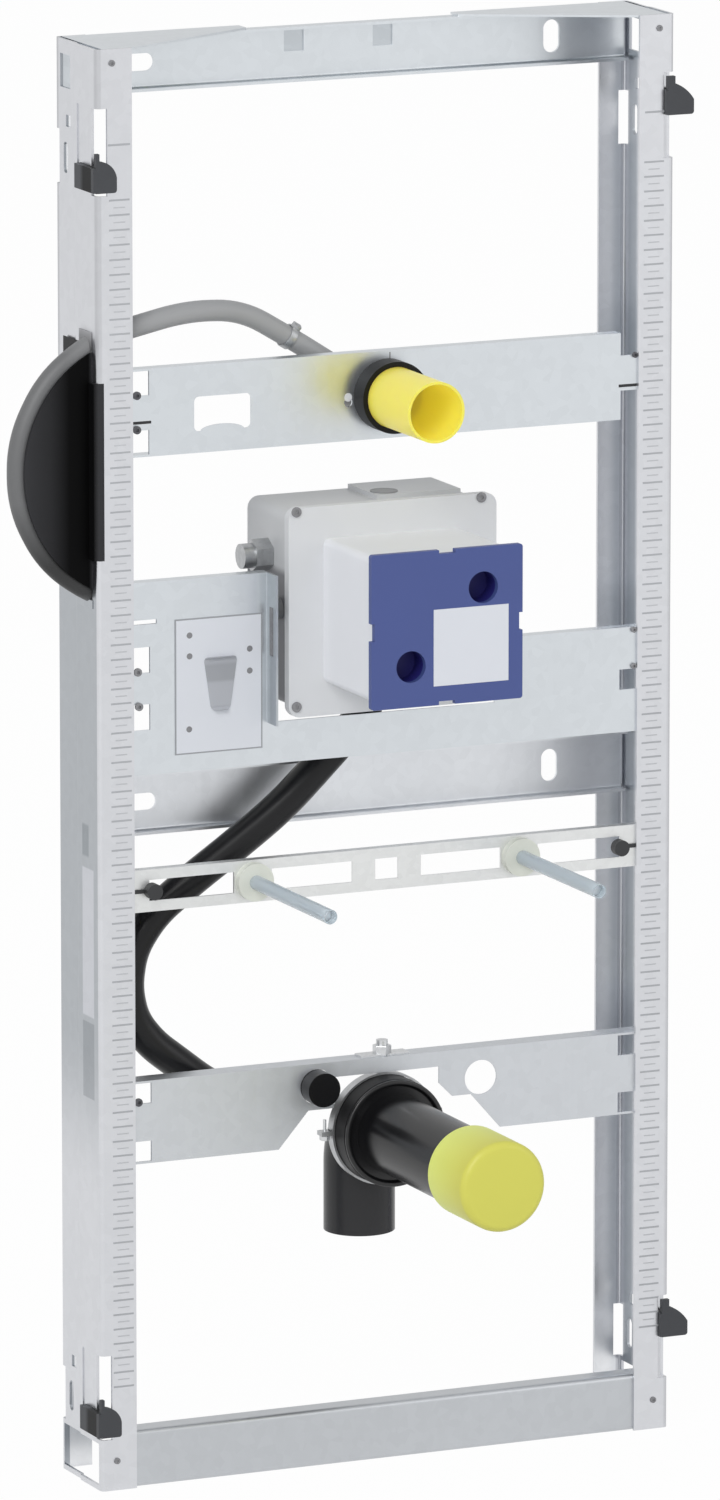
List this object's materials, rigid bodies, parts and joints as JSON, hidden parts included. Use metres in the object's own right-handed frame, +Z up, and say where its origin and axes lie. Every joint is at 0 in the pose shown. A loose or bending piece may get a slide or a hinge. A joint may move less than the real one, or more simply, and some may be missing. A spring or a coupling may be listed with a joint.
{
  "type": "urinal installation frame",
  "caption": "Folded steel wall frame for a urinal, carrying a flush control box, a flush pipe sleeve, fixing rods, hoses and a drain elbow with a capped front pipe.",
  "frame": {"origin": "middle of the underside of the bottom rail's lower flange", "axes": "+Z up along the posts, -Y out of the wall towards the urinal, +X to the right seen from the front"},
  "size_m": [0.4952, 0.259, 0.983],
  "materials": {
    "galvanised_steel": "bright galvanised sheet",
    "zinc_fastener": "zinc plated",
    "box_grey": "moulded, fine grain",
    "cover_blue": "moulded",
    "site_yellow": "moulded",
    "black_pipe": "extruded, soft gloss",
    "black_rubber": "matt",
    "black_hose": "smooth",
    "grey_hose": "smooth",
    "clip_black": "moulded",
    "clear_tube": "clear, pale blue",
    "cream_nylon": "moulded"
  },
  "bodies": {
    "root": {"left_post": "galvanised_steel", "right_post": "galvanised_steel", "top_rail": "galvanised_steel", "back_rail": "galvanised_steel", "bottom_rail": "galvanised_steel", "top_left_gusset": "galvanised_steel", "top_right_gusset": "galvanised_steel", "flush_plate": "galvanised_steel", "valve_plate": "galvanised_steel", "mounting_bar": "galvanised_steel", "drain_bracket": "galvanised_steel", "left_rod": "zinc_fastener", "right_rod": "zinc_fastener", "left_rod_nut": "zinc_fastener", "right_rod_nut": "zinc_fastener", "drain_clamp": "zinc_fastener", "drain_hanger": "zinc_fastener", "inlet_fitting": "zinc_fastener", "control_box": "box_grey", "box_lid": "box_grey", "box_neck": "box_grey", "box_cover": "cover_blue", "flush_sleeve": "site_yellow", "drain_cap": "site_yellow", "drain_elbow": "black_pipe", "drain_pipe": "black_pipe", "flush_bend": "black_pipe", "conduit_plug": "black_pipe", "flush_seal": "black_rubber", "drain_collar": "black_rubber", "conduit": "black_hose", "flush_hose": "grey_hose", "lower_left_clip": "clip_black", "lower_right_clip": "clip_black", "upper_left_clip": "clip_black", "upper_right_clip": "clip_black", "left_bar_knob": "clip_black", "right_bar_knob": "clip_black", "hose_guide": "clip_black", "left_rod_tube": "clear_tube", "right_rod_tube": "clear_tube", "left_rod_washer": "cream_nylon", "right_rod_washer": "cream_nylon"}
  },
  "joints": []
}
